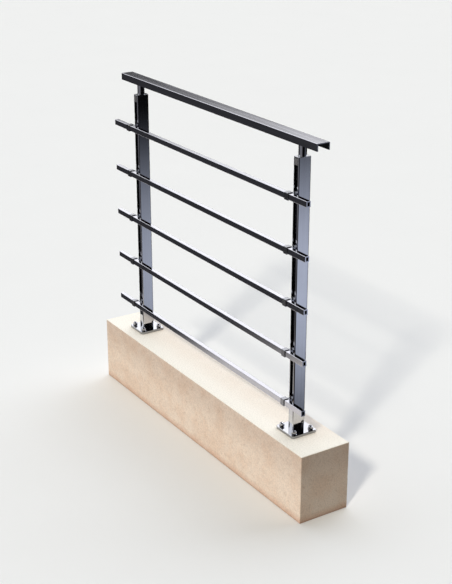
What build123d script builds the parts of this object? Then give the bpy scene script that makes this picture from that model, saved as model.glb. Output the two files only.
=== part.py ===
from build123d import *
import os

# Aluminium railing panel bolted to a stone plinth, in millimetres.
# X runs along the railing, -Y is the front where the bars are carried, and Z is up.
# The origin is the centre of the plinth's underside.

# Stone plinth
plinth_length = 1420.0
plinth_width = 204.0
plinth_height = 260.0
plinth_arris = 1.5

# Posts: lipped channels that open to the front
post_end_margin = 173.0
post_top_height = 996.0
post_width = 30.0
post_depth = 50.0
post_wall = 3.0
post_corner_radius = 4.0
post_inner_radius = 1.0
post_slot = 18.0

# Base plates under the posts
plate_size = 105.0
plate_thickness = 10.0
plate_corner_radius = 10.0
plate_edge_chamfer = 1.0

# Anchor bolts: a stud set in the stone, a washer and a hexagon nut
bolt_spacing = 72.0
bolt_diameter = 10.0
bolt_embedment = 60.0
bolt_projection = 5.0
bolt_tip_chamfer = 1.0
bolt_hole_clearance = 0.5
drill_clearance = 0.3
drill_allowance = 4.0
washer_diameter = 20.0
washer_thickness = 2.0
nut_across_flats = 17.0
nut_height = 8.0

# Post caps: a lid with a plug that fills the head of the channel
cap_thickness = 4.0
cap_plug_depth = 24.0
cap_clearance = 0.2
cap_tongue_setback = 0.5
cap_edge_radius = 1.0

# Post spigots: plugs on the base plates that fill the foot of the channel, under the bottom holder
spigot_clearance = 0.2
spigot_tongue_setback = 0.2
spigot_top_gap = 2.0

# Handrail: a channel with its open side down
rail_overhang = 110.0
rail_width = 50.0
rail_height = 26.0
rail_wall = 4.0
rail_edge_radius = 1.5

# Rail supports: a round stem on the cap and a saddle inside the handrail
stem_diameter = 28.0
stem_gap = 41.0
stem_edge_chamfer = 1.0
saddle_length = 70.0
saddle_thickness = 5.0
saddle_clearance = 0.3

# Bars: rectangular tubes carried in front of the posts
bar_count = 5
bar_overhang = 110.0
bar_height = 21.0
bar_depth = 16.5
bar_wall = 3.5
bar_corner_radius = 1.5
bottom_bar_height = 126.0
top_bar_drop = 126.0
bar_standoff = 27.8

# Bar holders: a collar on the bar, a neck and a foot behind the lips of the post
collar_wall = 2.5
collar_length = 20.0
collar_edge_radius = 2.0
collar_end_chamfer = 0.8
bar_clearance = 0.2
neck_height = 12.0
neck_clearance = 0.3
foot_height = 20.0
foot_thickness = 4.0
foot_clearance = 0.3

# Levels and places that follow from the sizes above
plate_top = plinth_height + plate_thickness
post_top = plinth_height + post_top_height
channel_top = post_top - cap_thickness
rail_top = post_top + stem_gap + rail_height
rail_web_underside = rail_top - rail_wall
saddle_underside = rail_web_underside - saddle_thickness
post_front = -post_depth / 2
bar_centre_y = post_front - bar_standoff
cavity_width = post_width - 2 * post_wall
cavity_depth = post_depth - 2 * post_wall
cavity_front = post_front + post_wall
post_reach = plinth_length / 2 - post_end_margin
post_places = {"left": -post_reach, "right": post_reach}
bar_pitch = (post_top_height - top_bar_drop - bottom_bar_height) / (bar_count - 1)
bolt_offsets = [(x * bolt_spacing / 2, y * bolt_spacing / 2) for y in (-1, 1) for x in (-1, 1)]

TO_TOP = (Align.CENTER, Align.CENTER, Align.MIN)
TO_BACK = (Align.CENTER, Align.MIN, Align.CENTER)


def upright_hole(radius, bottom, height, x, y):
    """A round cutter standing at x, y, from bottom up."""
    return Pos(x, y, bottom) * Cylinder(radius, height, align=TO_TOP)


def plinth():
    """The stone block with eased edges and a drilled hole for every anchor bolt."""
    block = Box(plinth_length, plinth_width, plinth_height, align=TO_TOP)
    block = chamfer(block.edges(), plinth_arris)
    radius = bolt_diameter / 2 + drill_clearance
    depth = bolt_embedment + drill_allowance
    for post_x in post_places.values():
        for x, y in bolt_offsets:
            block -= upright_hole(radius, plinth_height - depth, depth, post_x + x, y)
    return block


def base_plate():
    """A square plate with rounded corners, an eased top edge and four clearance holes."""
    plate = extrude(RectangleRounded(plate_size, plate_size, plate_corner_radius), plate_thickness)
    plate = chamfer(plate.edges().group_by(Axis.Z)[-1], plate_edge_chamfer)
    radius = bolt_diameter / 2 + bolt_hole_clearance
    for x, y in bolt_offsets:
        plate -= upright_hole(radius, 0, plate_thickness, x, y)
    return Pos(0, 0, plinth_height) * plate


def anchor_bolt():
    """A stud from inside the stone to above its nut, with the washer seated on the plate."""
    washer_top = plate_top + washer_thickness
    nut_top = washer_top + nut_height
    stud_bottom = plinth_height - bolt_embedment
    stud = Cylinder(bolt_diameter / 2, nut_top + bolt_projection - stud_bottom, align=TO_TOP)
    stud = chamfer(stud.edges().group_by(Axis.Z)[-1], bolt_tip_chamfer)
    washer = Cylinder(washer_diameter / 2, washer_thickness, align=TO_TOP)
    nut = extrude(RegularPolygon(nut_across_flats / 2, 6, major_radius=False), nut_height)
    return Pos(0, 0, stud_bottom) * stud + Pos(0, 0, plate_top) * washer + Pos(0, 0, washer_top) * nut


def post():
    """A rounded box section with a slot along its front face."""
    height = channel_top - plate_top
    section = RectangleRounded(post_width, post_depth, post_corner_radius)
    section -= RectangleRounded(cavity_width, cavity_depth, post_inner_radius)
    section -= Pos(0, post_front) * Rectangle(post_slot, 2 * post_wall)
    return Pos(0, 0, plate_top) * extrude(section, height)


def channel_plug(clearance, tongue_setback, height):
    """A block that fills the channel, with a tongue that closes its slot."""
    section = Rectangle(cavity_width - 2 * clearance, cavity_depth - 2 * clearance)
    section = fillet(section.vertices(), post_inner_radius)
    tongue_reach = post_wall + clearance - tongue_setback
    tongue = Rectangle(post_slot - 2 * clearance, tongue_reach, align=(Align.CENTER, Align.MAX))
    section += Pos(0, cavity_front + clearance) * tongue
    return extrude(section, height)


def post_cap():
    """A lid as large as the post, over a plug whose tongue closes the head of the slot."""
    lid = extrude(RectangleRounded(post_width, post_depth, post_corner_radius), cap_thickness)
    lid = fillet(lid.edges().group_by(Axis.Z)[-1], cap_edge_radius)
    plug = channel_plug(cap_clearance, cap_tongue_setback, -cap_plug_depth)
    return Pos(0, 0, channel_top) * (lid + plug)


def post_spigot():
    """A plug that stands on the base plate inside the post and ends under the bottom holder's foot."""
    holder_underside = plinth_height + bottom_bar_height - foot_height / 2
    height = holder_underside - spigot_top_gap - plate_top
    return Pos(0, 0, plate_top) * channel_plug(spigot_clearance, spigot_tongue_setback, height)


def rail_stem():
    """A round stem with an eased foot, from the post cap up into the handrail."""
    stem = Cylinder(stem_diameter / 2, saddle_underside - post_top, align=TO_TOP)
    stem = chamfer(stem.edges().group_by(Axis.Z)[0], stem_edge_chamfer)
    return Pos(0, 0, post_top) * stem


def rail_saddle():
    """A flat bar between the legs of the handrail, under its web."""
    width = rail_width - 2 * rail_wall - 2 * saddle_clearance
    return Pos(0, 0, saddle_underside) * Box(saddle_length, width, saddle_thickness, align=TO_TOP)


def handrail():
    """A channel section, open below, carried along X."""
    outside = Rectangle(rail_width, rail_height, align=(Align.CENTER, Align.MAX))
    outside = fillet(outside.vertices().group_by(Axis.Y)[-1], rail_edge_radius)
    leg_height = rail_height - rail_wall
    hollow = Rectangle(rail_width - 2 * rail_wall, leg_height, align=(Align.CENTER, Align.MAX))
    section = outside - Pos(0, -rail_wall) * hollow
    return Pos(0, 0, rail_top) * extrude(Plane.YZ * section, post_reach + rail_overhang, both=True)


def bar():
    """A rectangular tube along X, about its own axis."""
    section = RectangleRounded(bar_depth, bar_height, bar_corner_radius)
    section -= Rectangle(bar_depth - 2 * bar_wall, bar_height - 2 * bar_wall)
    return extrude(Plane.YZ * section, post_reach + bar_overhang, both=True)


def bar_holder():
    """A collar about the bar's axis, and a neck through the slot to a foot behind the lips."""
    bore_depth = bar_depth + 2 * bar_clearance
    bore_height = bar_height + 2 * bar_clearance
    outer_section = RectangleRounded(bore_depth + 2 * collar_wall, bore_height + 2 * collar_wall, collar_edge_radius)
    collar = extrude(Plane.YZ * outer_section, collar_length / 2, both=True)
    end_edges = collar.edges().group_by(Axis.X)
    collar = chamfer(end_edges[0] + end_edges[-1], collar_end_chamfer)
    bore_section = RectangleRounded(bore_depth, bore_height, bar_corner_radius)
    collar -= extrude(Plane.YZ * bore_section, collar_length / 2, both=True)
    neck_start = bore_depth / 2 + collar_wall / 2
    foot_start = bar_standoff + post_wall
    neck_width = post_slot - 2 * neck_clearance
    neck = Box(neck_width, foot_start - neck_start, neck_height, align=TO_BACK)
    foot_width = cavity_width - 2 * foot_clearance
    foot_section = RectangleRounded(foot_width, foot_thickness, post_inner_radius)
    foot = extrude(Pos(0, foot_start + foot_thickness / 2) * foot_section, foot_height / 2, both=True)
    return collar + Pos(0, neck_start, 0) * neck + foot


def save(name, shape):
    export_step(shape, f"parts/{name}.step")


os.makedirs("parts", exist_ok=True)

save("stone_plinth", plinth())
save("handrail", handrail())

bar_levels = [plinth_height + bottom_bar_height + bar_pitch * step for step in range(bar_count)]
for number, level in enumerate(bar_levels, start=1):
    save(f"bar_{number}", Pos(0, bar_centre_y, level) * bar())

for side, post_x in post_places.items():
    at_post = Pos(post_x, 0, 0)
    save(f"{side}_base_plate", at_post * base_plate())
    save(f"{side}_post", at_post * post())
    save(f"{side}_post_spigot", at_post * post_spigot())
    save(f"{side}_post_cap", at_post * post_cap())
    save(f"{side}_rail_stem", at_post * rail_stem())
    save(f"{side}_rail_saddle", at_post * rail_saddle())
    for number, (x, y) in enumerate(bolt_offsets, start=1):
        save(f"{side}_anchor_bolt_{number}", Pos(post_x + x, y, 0) * anchor_bolt())
    for number, level in enumerate(bar_levels, start=1):
        save(f"{side}_bar_holder_{number}", Pos(post_x, bar_centre_y, level) * bar_holder())
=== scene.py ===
"""Finishes an aluminium railing on a stone plinth: metals, stone, threaded bolts, screws and a studio."""

import math
from typing import NamedTuple

import bpy
import numpy as np
from bpy.props import FloatProperty, FloatVectorProperty, PointerProperty
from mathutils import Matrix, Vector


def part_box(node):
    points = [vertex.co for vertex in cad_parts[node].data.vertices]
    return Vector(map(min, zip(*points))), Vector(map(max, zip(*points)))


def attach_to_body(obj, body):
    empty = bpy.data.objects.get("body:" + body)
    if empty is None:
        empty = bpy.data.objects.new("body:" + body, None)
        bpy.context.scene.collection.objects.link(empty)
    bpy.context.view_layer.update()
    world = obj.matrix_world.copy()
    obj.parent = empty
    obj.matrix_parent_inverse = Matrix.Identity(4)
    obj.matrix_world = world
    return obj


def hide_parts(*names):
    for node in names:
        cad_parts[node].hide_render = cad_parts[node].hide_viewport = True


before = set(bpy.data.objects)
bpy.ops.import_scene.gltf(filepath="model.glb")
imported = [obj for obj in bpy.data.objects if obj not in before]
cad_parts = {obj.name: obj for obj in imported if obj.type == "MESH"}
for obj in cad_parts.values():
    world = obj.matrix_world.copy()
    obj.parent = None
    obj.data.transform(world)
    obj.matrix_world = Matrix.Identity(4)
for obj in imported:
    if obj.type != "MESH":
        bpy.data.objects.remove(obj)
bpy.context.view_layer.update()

bl_info = {
    "name": "Aluminium Railing",
    "version": (1, 0, 0),
    "blender": (4, 5, 0),
    "location": "3D View > Sidebar > Railing",
    "description": "Finishes the pieces of an aluminium railing on a stone plinth",
    "category": "Add Mesh",
}

BODY = "root"
SIDES = ("left", "right")
MILLIMETRE = 0.001


def linear(hex_colour):
    """Turns an sRGB hex colour into linear red, green and blue."""
    channels = [int(hex_colour[i:i + 2], 16) / 255 for i in (1, 3, 5)]
    return tuple(c / 12.92 if c <= 0.04045 else ((c + 0.055) / 1.055) ** 2.4 for c in channels)


def direction(azimuth, elevation):
    """The unit vector at an angle from +X towards +Y, and an angle above the floor."""
    flat = math.cos(elevation)
    return flat * math.cos(azimuth), flat * math.sin(azimuth), math.sin(elevation)


# Settings that a user would change

class AnchorBoltSizes(bpy.types.PropertyGroup):
    """Sizes of the visible end of an anchor bolt; its places come from the frame."""
    stud_diameter: FloatProperty(
        name="Stud Diameter", description="Over the thread", default=0.010, unit="LENGTH")
    thread_pitch: FloatProperty(
        name="Thread Pitch", description="Rise of the thread in one turn", default=0.0015, unit="LENGTH")
    thread_depth: FloatProperty(
        name="Thread Depth", description="From crest to root", default=0.0009, unit="LENGTH")
    tip_chamfer: FloatProperty(
        name="Tip Chamfer", description="Length of the cone at the stud's tip", default=0.0012, unit="LENGTH")
    nut_across_flats: FloatProperty(
        name="Nut Across Flats", description="Width of the hexagon", default=0.017, unit="LENGTH")
    nut_height: FloatProperty(
        name="Nut Height", description="Thickness of the nut", default=0.008, unit="LENGTH")
    washer_diameter: FloatProperty(
        name="Washer Diameter", description="Outer diameter", default=0.020, unit="LENGTH")
    washer_thickness: FloatProperty(
        name="Washer Thickness", description="Between plate and nut", default=0.002, unit="LENGTH")


class SaddleScrewSizes(bpy.types.PropertyGroup):
    """Sizes of the button-head screws that hold each saddle to the handrail's web."""
    reach: FloatProperty(
        name="Reach", description="From the stem's axis to each screw", default=0.025, unit="LENGTH")
    head_diameter: FloatProperty(
        name="Head Diameter", description="Across the rounded head", default=0.0095, unit="LENGTH")
    head_height: FloatProperty(
        name="Head Height", description="Crown of the head", default=0.0027, unit="LENGTH")
    socket_across_flats: FloatProperty(
        name="Socket Across Flats", description="Width of the hexagon key", default=0.003, unit="LENGTH")
    socket_depth: FloatProperty(
        name="Socket Depth", description="Depth of the hexagon key", default=0.0018, unit="LENGTH")


class RailingFinishes(bpy.types.PropertyGroup):
    """Colours of the stone and the metals."""
    # Painted light: the top of the stone is drawn in this paler colour for the brighter light that falls on
    # it
    stone_painted_light_top: FloatVectorProperty(
        name="Stone Top Painted Light", description="Top of the limestone, painted paler for the light on it",
        default=linear("#FBF8EF"), subtype="COLOR", min=0, max=1)
    stone_pale: FloatVectorProperty(
        name="Pale Stone", description="Ground colour of the limestone's sides",
        default=linear("#FCEBDA"), subtype="COLOR", min=0, max=1)
    stone_warm: FloatVectorProperty(
        name="Warm Stone", description="Cloudy patches in the sides",
        default=linear("#F5DDC8"), subtype="COLOR", min=0, max=1)
    stone_fleck: FloatVectorProperty(
        name="Stone Flecks", description="Shell and iron flecks",
        default=linear("#CBAE93"), subtype="COLOR", min=0, max=1)
    polished_metal: FloatVectorProperty(
        name="Polished Aluminium", description="Posts, spigots, caps, stems and base plates",
        default=linear("#CBCCD0"), subtype="COLOR", min=0, max=1)
    satin_metal: FloatVectorProperty(
        name="Satin Aluminium", description="Handrail and bars",
        default=linear("#CACAD1"), subtype="COLOR", min=0, max=1)
    cast_metal: FloatVectorProperty(
        name="Cast Aluminium", description="Saddles and bar holders",
        default=linear("#9C9DA2"), subtype="COLOR", min=0, max=1)
    bolt_metal: FloatVectorProperty(
        name="Bolt Steel", description="Studs, nuts, washers and screws",
        default=linear("#ACACB1"), subtype="COLOR", min=0, max=1)


class StudioSettings(bpy.types.PropertyGroup):
    """The floor, the lights and the camera."""
    floor_colour: FloatVectorProperty(
        name="Floor", description="Colour of the floor and its rising rim",
        default=linear("#EDEFF0"), subtype="COLOR", min=0, max=1)
    key_colour: FloatVectorProperty(
        name="Key Colour", description="Tint of the key light",
        default=linear("#FFF8E8"), subtype="COLOR", min=0, max=1)
    key_strength: FloatProperty(
        name="Key Strength", description="Strength of the key light", default=1.8, min=0)
    key_azimuth: FloatProperty(
        name="Key Azimuth", description="Turn of the key light from +X",
        default=math.radians(302.0), subtype="ANGLE")
    key_elevation: FloatProperty(
        name="Key Elevation", description="Height of the key light",
        default=math.radians(39.0), subtype="ANGLE")
    key_spread: FloatProperty(
        name="Key Spread", description="Width of the key light as the object sees it",
        default=math.radians(7.0), subtype="ANGLE")
    dark_colour: FloatVectorProperty(
        name="Dark Studio", description="The studio between its soft panels",
        default=linear("#0B0B0D"), subtype="COLOR", min=0, max=1)
    lens: FloatProperty(
        name="Lens", description="Focal length on a 36 mm frame, in millimetres", default=75.557)
    camera_place: FloatVectorProperty(
        name="Camera Place", description="Where the camera stands",
        default=(3.63419, -2.27775, 2.30904), subtype="TRANSLATION", unit="LENGTH")
    camera_turn: FloatProperty(
        name="Camera Turn", description="Turn about the vertical",
        default=math.radians(57.355), subtype="ANGLE")
    camera_dip: FloatProperty(
        name="Camera Dip", description="Tilt below the horizon",
        default=math.radians(21.697), subtype="ANGLE")


class SoftPanel(NamedTuple):
    """A soft-edged oval of light, seen from the object: angles in degrees, edge as a share of its size."""
    azimuth: float
    elevation: float
    half_width: float
    half_height: float
    edge: float
    colour: str
    strength: float


SOFT_PANELS = (
    # High behind on the left, cool light for the floor and the top of the stone
    SoftPanel(azimuth=160, elevation=58, half_width=40, half_height=18, edge=0.2,
              colour="#D8E6FF", strength=0.3),
    # Straight behind and lower: the stone keeps it off the floor on its near side
    SoftPanel(azimuth=98, elevation=28, half_width=30, half_height=14, edge=0.3,
              colour="#F0F5FF", strength=1.9),
    # Behind, mirrored by every level face, with a soft lower edge that shades the handrail along its length
    SoftPanel(azimuth=137, elevation=44.3, half_width=60, half_height=30, edge=0.103,
              colour="#FAFAFC", strength=1.6),
    # Front left, the fill for the front of the stone, with a soft shadow past its end
    SoftPanel(azimuth=224, elevation=28, half_width=26, half_height=18, edge=0.4,
              colour="#FAFCFF", strength=1.5),
    # Front right, mirrored by the level faces when they are seen from behind
    SoftPanel(azimuth=288, elevation=13, half_width=50, half_height=14, edge=0.3,
              colour="#FFFDFA", strength=0.45),
    # Behind on the right, mirrored by the backs of the posts, bars and handrail
    SoftPanel(azimuth=66, elevation=-4, half_width=30, half_height=7, edge=0.3,
              colour="#EEF2FF", strength=0.4),
    # Low in front, warm light off the floor for the front of the stone
    SoftPanel(azimuth=262, elevation=-55, half_width=40, half_height=26, edge=0.3,
              colour="#FFF0E4", strength=1.15),
    # A low strip in front, the bright stripe on the round stems
    SoftPanel(azimuth=275, elevation=-15, half_width=36, half_height=9, edge=0.3,
              colour="#EDEBF5", strength=0.25),
    # Low on the left, mirrored by the front of the bottom bar and the feet of the posts
    SoftPanel(azimuth=198, elevation=-37.9, half_width=30, half_height=14, edge=0.05,
              colour="#FBF7F2", strength=0.76),
    # Low behind on the right, mirrored by the broad faces of the posts
    SoftPanel(azimuth=38.2, elevation=-21.4, half_width=13.8, half_height=4.7, edge=0.85,
              colour="#E2EAFF", strength=0.8),
    # A faint glow on the left, so that the fronts of the bars and the handrail stay off black
    SoftPanel(azimuth=208, elevation=-15, half_width=38, half_height=24, edge=0.5,
              colour="#F4F6FF", strength=0.04),
)


# Meshes

def grid_faces(rows, columns, offset):
    """Quads of a grid that closes on itself along its columns, by vertex number."""
    row, column = np.meshgrid(np.arange(rows - 1), np.arange(columns), indexing="ij")
    beside = (column + 1) % columns
    here, above = row * columns, (row + 1) * columns
    corners = (here + column, here + beside, above + beside, above + column)
    return np.stack(corners, axis=-1).reshape(-1, 4) + offset


def grid_object(name, grids, sharp_angle=math.radians(35.0)):
    """One mesh object from grids of points, each closed along its columns and fanned shut at both ends."""
    points, faces, offset = [], [], 0
    for grid in grids:
        rows, columns = grid.shape[:2]
        points.append(grid.reshape(-1, 3))
        faces.extend(grid_faces(rows, columns, offset).tolist())
        faces.append((offset + np.arange(columns))[::-1].tolist())
        faces.append((offset + (rows - 1) * columns + np.arange(columns)).tolist())
        offset += rows * columns
    mesh = bpy.data.meshes.new(name)
    mesh.from_pydata(np.concatenate(points).tolist(), [], faces)
    mesh.polygons.foreach_set("use_smooth", np.ones(len(mesh.polygons), dtype=bool))
    mesh.set_sharp_from_angle(angle=sharp_angle)
    mesh.validate()
    piece = bpy.data.objects.new(name, mesh)
    bpy.context.scene.collection.objects.link(piece)
    return piece


def turned(radii, heights, columns=64):
    """A surface of revolution about Z: each row is a circle of its own radius and height."""
    angle = np.linspace(0, 2 * np.pi, columns, endpoint=False)
    radius = np.asarray(radii, float)[:, None]
    height = np.asarray(heights, float)[:, None] + 0 * angle
    return np.stack((radius * np.cos(angle), radius * np.sin(angle), height), axis=-1)


def hexagon_radius(angle, across_flats):
    """Distance from a hexagon's centre to its side.

    It is half the hexagon's width over the cosine of the angle from the middle of the nearest flat.
    """
    from_flat = (angle + np.pi / 6) % (np.pi / 3) - np.pi / 6
    return across_flats / 2 / np.cos(from_flat)


def hexagon_nut(across_flats, height, columns=72):
    """A hexagon prism whose corners are cut by a cone at each end: the smaller radius of the two counts."""
    cone_share = 0.09
    end_share = 0.96
    cone_slope = math.tan(math.radians(60.0))
    cone_rows = 7
    angle = np.linspace(0, 2 * np.pi, columns, endpoint=False)
    cut = np.linspace(0, across_flats * cone_share, cone_rows)
    level = np.concatenate((cut, height - cut[::-1]))[:, None]
    from_end = np.minimum(level, height - level)
    cone = across_flats / 2 * end_share + from_end * cone_slope
    radius = np.minimum(hexagon_radius(angle, across_flats), cone)
    return np.stack((radius * np.cos(angle), radius * np.sin(angle), level + 0 * angle), axis=-1)


def threaded_stud(diameter, pitch, depth, bottom, thread_start, top, chamfer, columns=48):
    """A round stud whose radius falls by a triangle wave of height less turn, and by a cone at its tip."""
    rows_per_turn = 10
    angle = np.linspace(0, 2 * np.pi, columns, endpoint=False)
    step = pitch / rows_per_turn
    level = np.concatenate(([bottom], np.arange(thread_start, top, step), [top]))[:, None]
    turn = (level / pitch - angle / (2 * np.pi)) % 1.0
    groove = depth * np.abs(2 * turn - 1)
    groove = np.where(level < thread_start + step / 2, 0, groove)
    tip = diameter / 2 - depth - chamfer / 2 + (top - level)
    radius = np.minimum(diameter / 2 - groove, np.maximum(tip, diameter / 4))
    return np.stack((radius * np.cos(angle), radius * np.sin(angle), level + 0 * angle), axis=-1)


def button_screw(diameter, height, socket_width, socket_depth, columns=48):
    """A head that hangs down: an elliptic crown from rim to socket, then the socket's wall and floor."""
    crown_sweep = 0.42 * np.pi
    crown_rows = 9
    back_share = 0.05
    floor_share = 0.2
    angle = np.linspace(0, 2 * np.pi, columns, endpoint=False)
    crown = np.linspace(0, crown_sweep, crown_rows)[:, None]
    socket = hexagon_radius(angle, socket_width)
    crown_radius = diameter / 2 * np.cos(crown) + 0 * angle
    crown_drop = -height * np.sin(crown) + 0 * angle
    back_radius = back_share * diameter + 0 * angle
    rows_radius = np.concatenate(([back_radius], crown_radius, [socket, socket, floor_share * socket]))
    face = crown_drop[-1]
    rows_drop = np.concatenate(([0 * angle], crown_drop, [face, face + socket_depth, face + socket_depth]))
    return np.stack((rows_radius * np.cos(angle), rows_radius * np.sin(angle), rows_drop), axis=-1)


def attach(piece, slot, finish, *nodes):
    """Gives a new piece its finish and its body, and hides the nodes that it stands for. The slot is not
    used.
    """
    piece.data.materials.append(finish)
    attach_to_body(piece, BODY)
    if nodes:
        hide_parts(*nodes)


# Materials

def add_node(tree, kind, settings=None, values=None, links=None):
    """Adds a shader node with its settings, its input values and its links from other nodes' outputs."""
    node = tree.nodes.new("ShaderNode" + kind)
    for name, setting in (settings or {}).items():
        setattr(node, name, setting)
    for name, value in (values or {}).items():
        node.inputs[name].default_value = value
    for name, output in (links or {}).items():
        tree.links.new(output, node.inputs[name])
    return node


def new_material(name):
    """An empty node material with its output, and the object coordinates that its patterns read."""
    material = bpy.data.materials.new(name)
    material.use_nodes = True
    tree = material.node_tree
    tree.nodes.clear()
    place = add_node(tree, "TexCoord").outputs["Object"]
    return material, tree, place


def opaque(colour):
    """A colour with full alpha, as colour sockets take it."""
    return (*colour, 1.0)


# Sockets of the Mix node that carry its factor, colours and mixed colour
MIX_FACTOR, MIX_A, MIX_B, MIX_RESULT = 0, 6, 7, 2


def upright_faces(tree, place):
    """A mask that is 1 on upright faces and 0 on level ones, by the upward share of the surface's normal."""
    normal = add_node(tree, "NewGeometry").outputs["Normal"]
    facing = add_node(tree, "SeparateXYZ", {}, {}, {"Vector": normal})
    return add_node(tree, "MapRange", {}, {"From Min": 0.9, "From Max": 0.3},
                    {"Value": facing.outputs["Z"]}).outputs["Result"]


def below(level):
    """A mask that is 1 below a level and 0 above it."""
    def mask(tree, place):
        at = add_node(tree, "SeparateXYZ", {}, {}, {"Vector": place})
        under = add_node(tree, "Math", {"operation": "LESS_THAN"}, {1: level}, {0: at.outputs["Z"]})
        return under.outputs["Value"]
    return mask


def inside_channel(half_width, level):
    """A mask that is 1 inside a channel that opens down: near the middle along Y, and below a level."""
    def mask(tree, place):
        at = add_node(tree, "SeparateXYZ", {}, {}, {"Vector": place})
        across = add_node(tree, "Math", {"operation": "ABSOLUTE"}, {}, {0: at.outputs["Y"]})
        within = add_node(tree, "Math", {"operation": "LESS_THAN"}, {1: half_width},
                          {0: across.outputs["Value"]})
        under = add_node(tree, "Math", {"operation": "LESS_THAN"}, {1: level}, {0: at.outputs["Z"]})
        return add_node(tree, "Math", {"operation": "MULTIPLY"}, {},
                        {0: within.outputs["Value"], 1: under.outputs["Value"]}).outputs["Value"]
    return mask


# Painted shade on the stone's sides by share of its height: a brown line at the foot, a painted contact
# shadow where it meets the floor, and darker towards the top, a painted shade for light that is brighter near
# the floor
STONE_PAINTED_SHADE = (
    (0.0, "#BE9A86"),
    (0.03, "#EBDCD3"),
    (0.12, "#FFFFFF"),
    (0.45, "#FFFFFF"),
    (0.85, "#EAE8E8"),
)


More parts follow.
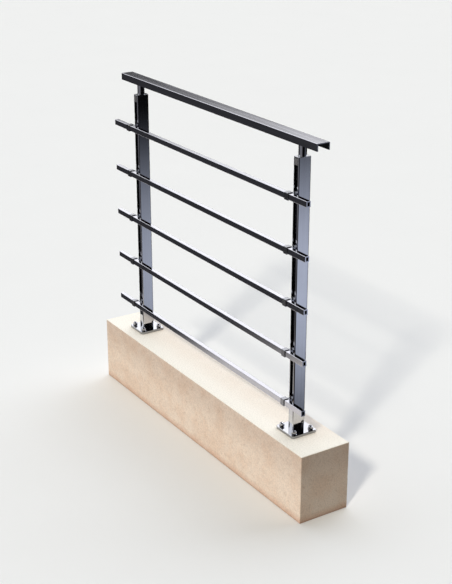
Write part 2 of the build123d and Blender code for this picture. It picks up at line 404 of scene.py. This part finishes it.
def honed_limestone(finishes):
    """Honed limestone: warm clouds, sandy grain, flecks and open pits that catch shade.

    Its sides carry painted shade: a brown line at the foot for the contact shadow at the floor, and a
    darkening towards the top for light that is brighter near the floor. Its top is painted paler than its
    sides as painted light, most of all along the front edge and the ends. The grain is drawn coarser than
    real sand, so that it shows.
    """
    cloud_size = 110 * MILLIMETRE
    mottle_size = 14 * MILLIMETRE
    grain_size = 5 * MILLIMETRE
    fleck_spacing = 15 * MILLIMETRE
    pit_spacing = 9 * MILLIMETRE
    pit_depth = 0.5 * MILLIMETRE
    low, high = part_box("stone_plinth")
    material, tree, place = new_material("honed limestone")
    at = add_node(tree, "SeparateXYZ", {}, {}, {"Vector": place})
    clouds = add_node(tree, "TexNoise", {}, {"Scale": 1 / cloud_size, "Detail": 5.0, "Roughness": 0.58},
                      {"Vector": place})
    mottles = add_node(tree, "TexNoise", {},
                       {"Scale": 1 / mottle_size, "Detail": 6.0, "Roughness": 0.62, "Distortion": 0.6},
                       {"Vector": place})
    grain = add_node(tree, "TexNoise", {}, {"Scale": 1 / grain_size, "Detail": 2.0}, {"Vector": place})
    flecks = add_node(tree, "TexVoronoi", {}, {"Scale": 1 / fleck_spacing}, {"Vector": place})
    pits = add_node(tree, "TexVoronoi", {}, {"Scale": 1 / pit_spacing}, {"Vector": place})
    cloud_share = add_node(tree, "MapRange", {"interpolation_type": "SMOOTHSTEP"},
                           {"From Min": 0.38, "From Max": 0.66, "To Max": 0.85},
                           {"Value": clouds.outputs["Fac"]})
    mottle_share = add_node(tree, "MapRange", {"interpolation_type": "SMOOTHSTEP"},
                            {"From Min": 0.50, "From Max": 0.74, "To Max": 0.34},
                            {"Value": mottles.outputs["Fac"]})
    fleck_share = add_node(tree, "MapRange", {"interpolation_type": "SMOOTHSTEP"},
                           {"From Min": 0.16, "From Max": 0.06, "To Max": 0.28},
                           {"Value": flecks.outputs["Distance"]})
    grain_value = add_node(tree, "MapRange", {},
                           {"From Min": 0.35, "From Max": 0.65, "To Min": 0.91, "To Max": 1.07},
                           {"Value": grain.outputs["Fac"]})
    sides = add_node(tree, "Mix", {"data_type": "RGBA"},
                     {MIX_A: opaque(finishes.stone_pale), MIX_B: opaque(finishes.stone_warm)},
                     {MIX_FACTOR: cloud_share.outputs["Result"]})
    mottled = add_node(tree, "Mix", {"data_type": "RGBA"}, {MIX_B: opaque(finishes.stone_fleck)},
                       {MIX_FACTOR: mottle_share.outputs["Result"], MIX_A: sides.outputs[MIX_RESULT]})
    flecked = add_node(tree, "Mix", {"data_type": "RGBA"}, {MIX_B: opaque(finishes.stone_fleck)},
                       {MIX_FACTOR: fleck_share.outputs["Result"], MIX_A: mottled.outputs[MIX_RESULT]})
    rise = add_node(tree, "MapRange", {}, {"From Min": low.z, "From Max": high.z}, {"Value": at.outputs["Z"]})
    # Painted shade by height: the dark contact line at the foot and the darkening towards the top
    painted_shade_ramp = add_node(tree, "ValToRGB", {}, {}, {"Fac": rise.outputs["Result"]})
    steps = painted_shade_ramp.color_ramp.elements
    steps.remove(steps[1])
    for share, shade in STONE_PAINTED_SHADE:
        steps.new(share).color = opaque(linear(shade))
    steps.remove(steps[0])
    painted_shaded = add_node(tree, "Mix", {"data_type": "RGBA", "blend_type": "MULTIPLY"}, {MIX_FACTOR: 1.0},
                       {MIX_A: flecked.outputs[MIX_RESULT], MIX_B: painted_shade_ramp.outputs["Color"]})
    # Painted light on the top: paler than the sides for the brighter light that falls on it, palest along the
    # front edge and at both ends, and less pale towards the back in the middle, a painted shade where the
    # railing stands
    along = add_node(tree, "Math", {"operation": "ABSOLUTE"}, {}, {0: at.outputs["X"]})
    from_ends = add_node(tree, "MapRange", {"interpolation_type": "SMOOTHSTEP"},
                         {"From Min": high.x, "From Max": 0.78 * high.x}, {"Value": along.outputs["Value"]})
    from_front = add_node(tree, "MapRange", {"interpolation_type": "SMOOTHSTEP"},
                          {"From Min": low.y, "From Max": 0.4 * high.y}, {"Value": at.outputs["Y"]})
    inward = add_node(tree, "Math", {"operation": "MULTIPLY"}, {},
                      {0: from_ends.outputs["Result"], 1: from_front.outputs["Result"]})
    edge_light_share = add_node(tree, "MapRange", {}, {"To Min": 1.0, "To Max": 0.6}, {"Value": inward.outputs["Value"]})
    sides_share = upright_faces(tree, place)
    painted_light_share = add_node(tree, "MapRange", {}, {"From Min": 1.0, "From Max": 0.0},
                      {"Value": sides_share, "To Max": edge_light_share.outputs["Result"]})
    with_painted_light = add_node(tree, "Mix", {"data_type": "RGBA"}, {MIX_B: opaque(finishes.stone_painted_light_top)},
                         {MIX_FACTOR: painted_light_share.outputs["Result"], MIX_A: painted_shaded.outputs[MIX_RESULT]})
    colour = add_node(tree, "HueSaturation", {}, {},
                      {"Value": grain_value.outputs["Result"], "Color": with_painted_light.outputs[MIX_RESULT]})
    pit_rim = add_node(tree, "MapRange", {"interpolation_type": "SMOOTHSTEP"},
                       {"From Min": 0.05, "From Max": 0.14}, {"Value": pits.outputs["Distance"]})
    height = add_node(tree, "Math", {"operation": "MULTIPLY_ADD"}, {1: 0.25},
                      {0: grain.outputs["Fac"], 2: pit_rim.outputs["Result"]})
    relief = add_node(tree, "Bump", {}, {"Distance": pit_depth, "Strength": 0.6},
                      {"Height": height.outputs["Value"]})
    roughness = add_node(tree, "MapRange", {}, {"To Min": 0.46, "To Max": 0.70},
                         {"Value": mottles.outputs["Fac"]})
    surface = add_node(tree, "BsdfPrincipled", {}, {},
                       {"Base Color": colour.outputs["Color"], "Roughness": roughness.outputs["Result"],
                        "Normal": relief.outputs["Normal"]})
    add_node(tree, "OutputMaterial", {}, {}, {"Surface": surface.outputs["BSDF"]})
    return material


def worked_metal(name, colour, line_size, smooth, rough, line_depth=0.01 * MILLIMETRE, streak=0.0, dull=None):
    """Metal whose drawn, brushed or turned lines streak its gloss and tone.

    line_size is the size of one streak each way. Where dull is given, it holds a mask, a roughness and a
    shade: masked faces have that roughness in place of the polish, and their colour darkened by that shade,
    which is painted shade on the plates' edges and inside the handrail.
    """
    smudge_size = 90 * MILLIMETRE
    material, tree, place = new_material(name)
    lined = add_node(tree, "Mapping", {"vector_type": "POINT"}, {"Scale": [1 / size for size in line_size]},
                     {"Vector": place})
    lines = add_node(tree, "TexNoise", {}, {"Scale": 1.0, "Detail": 4.0, "Roughness": 0.6},
                     {"Vector": lined.outputs["Vector"]})
    smudges = add_node(tree, "TexNoise", {}, {"Scale": 1 / smudge_size, "Detail": 3.0}, {"Vector": place})
    smudge_tone = add_node(tree, "MapRange", {},
                           {"From Min": 0.3, "From Max": 0.7, "To Min": 0.95, "To Max": 1.03},
                           {"Value": smudges.outputs["Fac"]})
    line_tone = add_node(tree, "MapRange", {},
                         {"From Min": 0.3, "From Max": 0.7, "To Min": 1 - streak, "To Max": 1 + streak},
                         {"Value": lines.outputs["Fac"]})
    tone = add_node(tree, "Math", {"operation": "MULTIPLY"}, {},
                    {0: smudge_tone.outputs["Result"], 1: line_tone.outputs["Result"]}).outputs["Value"]
    roughness = add_node(tree, "MapRange", {},
                         {"From Min": 0.3, "From Max": 0.7, "To Min": smooth, "To Max": rough},
                         {"Value": lines.outputs["Fac"]}).outputs["Result"]
    if dull is not None:
        mask, dull_roughness, shade = dull
        share = mask(tree, place)
        roughness = add_node(tree, "MapRange", {}, {"To Max": dull_roughness},
                             {"Value": share, "To Min": roughness}).outputs["Result"]
        # The shade darkens the masked faces' colour: painted shade on the plates' edges and inside the
        # handrail, the cast skin's own tone on the caps' plugs
        tone = add_node(tree, "MapRange", {}, {"To Max": shade},
                        {"Value": share, "To Min": tone}).outputs["Result"]
    tint = add_node(tree, "HueSaturation", {}, {"Color": opaque(colour)}, {"Value": tone})
    relief = add_node(tree, "Bump", {}, {"Distance": line_depth, "Strength": 0.5},
                      {"Height": lines.outputs["Fac"]})
    surface = add_node(tree, "BsdfPrincipled", {}, {"Metallic": 1.0},
                       {"Base Color": tint.outputs["Color"], "Roughness": roughness,
                        "Normal": relief.outputs["Normal"]})
    add_node(tree, "OutputMaterial", {}, {}, {"Surface": surface.outputs["BSDF"]})
    return material


def painted_floor(colour):
    """Matt studio paint: an even pale grey with a faint roller texture."""
    roller_size = 400 * MILLIMETRE
    material, tree, place = new_material("matt studio paint")
    cloud = add_node(tree, "TexNoise", {}, {"Scale": 1 / roller_size, "Detail": 3.0}, {"Vector": place})
    tone = add_node(tree, "MapRange", {}, {"To Min": 0.99, "To Max": 1.01}, {"Value": cloud.outputs["Fac"]})
    tint = add_node(tree, "HueSaturation", {}, {"Color": opaque(colour)}, {"Value": tone.outputs["Result"]})
    surface = add_node(tree, "BsdfDiffuse", {}, {}, {"Color": tint.outputs["Color"]})
    add_node(tree, "OutputMaterial", {}, {}, {"Surface": surface.outputs["BSDF"]})
    return material


def dress(nodes, finish):
    """Puts a finish on nodes of the frame, whose meshes stay as they are."""
    for name in nodes:
        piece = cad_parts[name]
        if not piece.material_slots:
            piece.data.materials.append(finish)
        for place in piece.material_slots:
            place.material = finish


# Operators

class RAILING_OT_stone_plinth(bpy.types.Operator):
    """Gives the plinth its honed limestone"""
    bl_idname = "railing.stone_plinth"
    bl_label = "Stone Plinth"

    def execute(self, context):
        dress(["stone_plinth"], honed_limestone(context.scene.railing_finishes))
        return {"FINISHED"}


class RAILING_OT_posts(bpy.types.Operator):
    """Gives the posts, their spigots and their stems a mirror polish with faint upright drawing lines"""
    bl_idname = "railing.posts"
    bl_label = "Posts, Spigots and Stems"

    def execute(self, context):
        line_size = (3 * MILLIMETRE, 3 * MILLIMETRE, 700 * MILLIMETRE)
        finish = worked_metal("mirror polished aluminium", context.scene.railing_finishes.polished_metal,
                              line_size, smooth=0.03, rough=0.07, streak=0.05)
        dress([f"{side}_{piece}" for side in SIDES for piece in ("post", "post_spigot", "rail_stem")], finish)
        return {"FINISHED"}


class RAILING_OT_post_caps(bpy.types.Operator):
    """Gives the caps a polished lid over a plug that keeps its dull cast skin"""
    bl_idname = "railing.post_caps"
    bl_label = "Post Caps"

    def execute(self, context):
        line_size = (3 * MILLIMETRE, 3 * MILLIMETRE, 3 * MILLIMETRE)
        plug = below(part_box("left_post")[1].z)
        finish = worked_metal("polished cast aluminium", context.scene.railing_finishes.polished_metal,
                              line_size, smooth=0.04, rough=0.08, dull=(plug, 0.4, 0.85))
        dress([f"{side}_post_cap" for side in SIDES], finish)
        return {"FINISHED"}


class RAILING_OT_base_plates(bpy.types.Operator):
    """Gives the base plates a mirror polish with no direction, and satin saw-cut edges darkened as painted
    shade
    """
    bl_idname = "railing.base_plates"
    bl_label = "Base Plates"

    def execute(self, context):
        line_size = (6 * MILLIMETRE, 6 * MILLIMETRE, 6 * MILLIMETRE)
        finish = worked_metal("buffed aluminium plate", context.scene.railing_finishes.polished_metal,
                              # The upright edges are rougher for the saw cut, and darkened to 0.6 as painted
                              # shade for the shaded stone that they mirror
                              line_size, smooth=0.04, rough=0.09, dull=(upright_faces, 0.3, 0.6))
        dress([f"{side}_base_plate" for side in SIDES], finish)
        return {"FINISHED"}


class RAILING_OT_handrail(bpy.types.Operator):
    """Gives the handrail a satin finish brushed along its length, and an inside darkened as painted shade"""
    bl_idname = "railing.handrail"
    bl_label = "Handrail"

    def execute(self, context):
        line_size = (400 * MILLIMETRE, 6 * MILLIMETRE, 6 * MILLIMETRE)
        saddle_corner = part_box("left_rail_saddle")[1]
        inside = inside_channel(saddle_corner.y + 1 * MILLIMETRE, saddle_corner.z + 1 * MILLIMETRE)
        # Inside the channel the colour is darkened to 0.15 as painted shade for the recess
        finish = worked_metal("satin brushed aluminium channel", context.scene.railing_finishes.satin_metal,
                              line_size, smooth=0.08, rough=0.13, streak=0.16, dull=(inside, 0.12, 0.15))
        dress(["handrail"], finish)
        return {"FINISHED"}


class RAILING_OT_bars(bpy.types.Operator):
    """Gives the bars a bright satin finish brushed along their length"""
    bl_idname = "railing.bars"
    bl_label = "Bars"

    def execute(self, context):
        line_size = (250 * MILLIMETRE, 2.5 * MILLIMETRE, 2.5 * MILLIMETRE)
        finish = worked_metal("satin brushed aluminium tube", context.scene.railing_finishes.satin_metal,
                              line_size, smooth=0.06, rough=0.11, streak=0.03)
        dress([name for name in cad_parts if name.startswith("bar_")], finish)
        return {"FINISHED"}


class RAILING_OT_castings(bpy.types.Operator):
    """Gives the saddles and bar holders a tumbled cast finish"""
    bl_idname = "railing.castings"
    bl_label = "Saddles and Bar Holders"

    def execute(self, context):
        line_size = (1.6 * MILLIMETRE, 1.6 * MILLIMETRE, 1.6 * MILLIMETRE)
        finish = worked_metal("tumbled cast aluminium", context.scene.railing_finishes.cast_metal,
                              line_size, smooth=0.14, rough=0.24, line_depth=0.02 * MILLIMETRE, streak=0.04)
        castings = ("rail_saddle", "bar_holder")
        dress([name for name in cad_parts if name.partition("_")[2].startswith(castings)], finish)
        return {"FINISHED"}


class RAILING_OT_anchor_bolts(bpy.types.Operator):
    """Builds each anchor bolt as a threaded stud with a chamfered nut on a washer"""
    bl_idname = "railing.anchor_bolts"
    bl_label = "Anchor Bolts"

    def execute(self, context):
        sizes = context.scene.railing_bolts
        finish = bolt_steel(context)
        for name in [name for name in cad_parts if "anchor_bolt" in name]:
            side = name.partition("_")[0]
            low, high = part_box(name)
            axis = (low + high) / 2
            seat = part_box(f"{side}_base_plate")[1].z
            nut_seat = seat + sizes.washer_thickness
            rim = sizes.washer_diameter / 2
            eased = 0.3 * MILLIMETRE
            washer = turned((rim - eased, rim, rim, rim - eased),
                            (seat, seat + eased, nut_seat - eased, nut_seat))
            nut = hexagon_nut(sizes.nut_across_flats, sizes.nut_height) + (0, 0, nut_seat)
            stud = threaded_stud(sizes.stud_diameter, sizes.thread_pitch, sizes.thread_depth, low.z,
                                 nut_seat + sizes.nut_height / 2, high.z, sizes.tip_chamfer)
            grids = [grid + (axis.x, axis.y, 0) for grid in (washer, nut, stud)]
            bolt = grid_object(f"{name}_threaded", grids)
            attach(bolt, "bolt_steel", finish, name)
        return {"FINISHED"}


class RAILING_OT_saddle_screws(bpy.types.Operator):
    """Builds two button-head screws under each saddle, one on each side of the stem"""
    bl_idname = "railing.saddle_screws"
    bl_label = "Saddle Screws"

    def execute(self, context):
        sizes = context.scene.railing_screws
        finish = bolt_steel(context)
        head = button_screw(sizes.head_diameter, sizes.head_height,
                            sizes.socket_across_flats, sizes.socket_depth)
        steps = (-sizes.reach, sizes.reach)
        for side in SIDES:
            low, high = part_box(f"{side}_rail_saddle")
            middle = (low + high) / 2
            heads = [head[:, ::-1] + (middle.x + step, middle.y, low.z) for step in steps]
            attach(grid_object(f"{side}_saddle_screws", heads), "bolt_steel", finish)
        return {"FINISHED"}


def bolt_steel(context):
    """Bright turned steel, made once: fine rings of the lathe soften its gloss."""
    name = "bright turned steel"
    if name in bpy.data.materials:
        return bpy.data.materials[name]
    line_size = (1.2 * MILLIMETRE, 1.2 * MILLIMETRE, 0.6 * MILLIMETRE)
    colour = context.scene.railing_finishes.bolt_metal
    return worked_metal(name, colour, line_size, smooth=0.06, rough=0.14)


class RAILING_OT_stage(bpy.types.Operator):
    """Sets up the floor, the key light, the soft panels and the camera"""
    bl_idname = "railing.stage"
    bl_label = "Stage"

    def execute(self, context):
        studio = context.scene.railing_studio
        lay_floor(studio)
        hang_key_light(studio)
        light_studio(studio)
        place_camera(studio)
        context.scene.view_settings.view_transform = "Standard"
        return {"FINISHED"}


def lay_floor(studio):
    """A round floor whose rim rises as the square of the distance past its flat middle, in metres.

    It takes light and shadow, but isn't mirrored by the metals and sends no light back to the stone.
    """
    middle_radius = 0.01
    flat_radius = 14.0
    rim_radius = 60.0
    rim_height = 26.0
    rim_rows = 24
    radius = np.concatenate(([middle_radius], np.linspace(flat_radius, rim_radius, rim_rows)))
    rise = rim_height * (np.clip(radius - flat_radius, 0, None) / (rim_radius - flat_radius)) ** 2
    grid = turned(radius, rise, columns=96)
    rows, columns = grid.shape[:2]
    mesh = bpy.data.meshes.new("studio_floor")
    mesh.from_pydata(grid.reshape(-1, 3).tolist(), [], grid_faces(rows, columns, 0).tolist())
    mesh.polygons.foreach_set("use_smooth", np.ones(len(mesh.polygons), dtype=bool))
    floor = bpy.data.objects.new("studio_floor", mesh)
    bpy.context.scene.collection.objects.link(floor)
    mesh.materials.append(painted_floor(studio.floor_colour))
    floor.visible_glossy = False
    floor.visible_diffuse = False
    floor.visible_shadow = False


def hang_key_light(studio):
    """One warm lamp, far off and wide enough for soft-edged shadows."""
    lamp = bpy.data.lights.new("key", "SUN")
    lamp.energy = studio.key_strength
    lamp.color = studio.key_colour
    lamp.angle = studio.key_spread
    key = bpy.data.objects.new("key", lamp)
    key.rotation_euler = (math.pi / 2 - studio.key_elevation, 0, studio.key_azimuth + math.pi / 2)
    bpy.context.scene.collection.objects.link(key)


def light_studio(studio):
    """A dark studio with soft panels, which fade by the distance from their middle over their size."""
    world = bpy.data.worlds.new("studio")
    world.use_nodes = True
    tree = world.node_tree
    tree.nodes.clear()
    look = add_node(tree, "TexCoord").outputs["Generated"]
    total = add_node(tree, "Background", {}, {"Color": opaque(studio.dark_colour)})
    for panel in SOFT_PANELS:
        azimuth, elevation = math.radians(panel.azimuth), math.radians(panel.elevation)
        size = (1, math.sin(math.radians(panel.half_width)), math.sin(math.radians(panel.half_height)))
        across = add_node(tree, "Mapping", {"vector_type": "TEXTURE"},
                          {"Location": direction(azimuth, elevation), "Rotation": (0, -elevation, azimuth),
                           "Scale": size}, {"Vector": look})
        distance = add_node(tree, "VectorMath", {"operation": "LENGTH"}, {}, {0: across.outputs["Vector"]})
        glow = add_node(tree, "MapRange", {"interpolation_type": "SMOOTHSTEP"},
                        {"From Min": 1 + panel.edge, "From Max": 1 - panel.edge, "To Max": panel.strength},
                        {"Value": distance.outputs["Value"]})
        light = add_node(tree, "Background", {}, {"Color": opaque(linear(panel.colour))},
                         {"Strength": glow.outputs["Result"]})
        total = add_node(tree, "AddShader", {}, {}, {0: total.outputs[0], 1: light.outputs[0]})
    add_node(tree, "OutputWorld", {}, {}, {"Surface": total.outputs[0]})
    bpy.context.scene.world = world


def place_camera(studio):
    """The camera at the viewpoint of the reference, level along its width."""
    lens = bpy.data.cameras.new("camera")
    lens.lens = studio.lens
    lens.sensor_width = 36.0
    camera = bpy.data.objects.new("camera", lens)
    camera.location = studio.camera_place
    camera.rotation_euler = (math.pi / 2 - studio.camera_dip, 0, studio.camera_turn)
    bpy.context.scene.collection.objects.link(camera)
    bpy.context.scene.camera = camera


OPERATORS = (
    RAILING_OT_stone_plinth,
    RAILING_OT_posts,
    RAILING_OT_post_caps,
    RAILING_OT_base_plates,
    RAILING_OT_handrail,
    RAILING_OT_bars,
    RAILING_OT_castings,
    RAILING_OT_anchor_bolts,
    RAILING_OT_saddle_screws,
    RAILING_OT_stage,
)


class RAILING_PT_panel(bpy.types.Panel):
    """Lists the railing's settings and operators"""
    bl_label = "Aluminium Railing"
    bl_idname = "RAILING_PT_panel"
    bl_space_type = "VIEW_3D"
    bl_region_type = "UI"
    bl_category = "Railing"

    def draw(self, context):
        for setting in SETTINGS:
            group = getattr(context.scene, setting)
            for name in group.__annotations__:
                self.layout.prop(group, name)
        for operator in OPERATORS:
            self.layout.operator(operator.bl_idname)


SETTINGS = {
    "railing_bolts": AnchorBoltSizes,
    "railing_screws": SaddleScrewSizes,
    "railing_finishes": RailingFinishes,
    "railing_studio": StudioSettings,
}


def register():
    for group in SETTINGS.values():
        bpy.utils.register_class(group)
    for operator in OPERATORS:
        bpy.utils.register_class(operator)
    bpy.utils.register_class(RAILING_PT_panel)
    for setting, group in SETTINGS.items():
        setattr(bpy.types.Scene, setting, PointerProperty(type=group))


def unregister():
    for setting in SETTINGS:
        delattr(bpy.types.Scene, setting)
    bpy.utils.unregister_class(RAILING_PT_panel)
    for operator in reversed(OPERATORS):
        bpy.utils.unregister_class(operator)
    for group in reversed(SETTINGS.values()):
        bpy.utils.unregister_class(group)


def main():
    register()
    for operator in OPERATORS:
        group, name = operator.bl_idname.split(".")
        getattr(getattr(bpy.ops, group), name)()


if __name__ == "__main__":
    main()
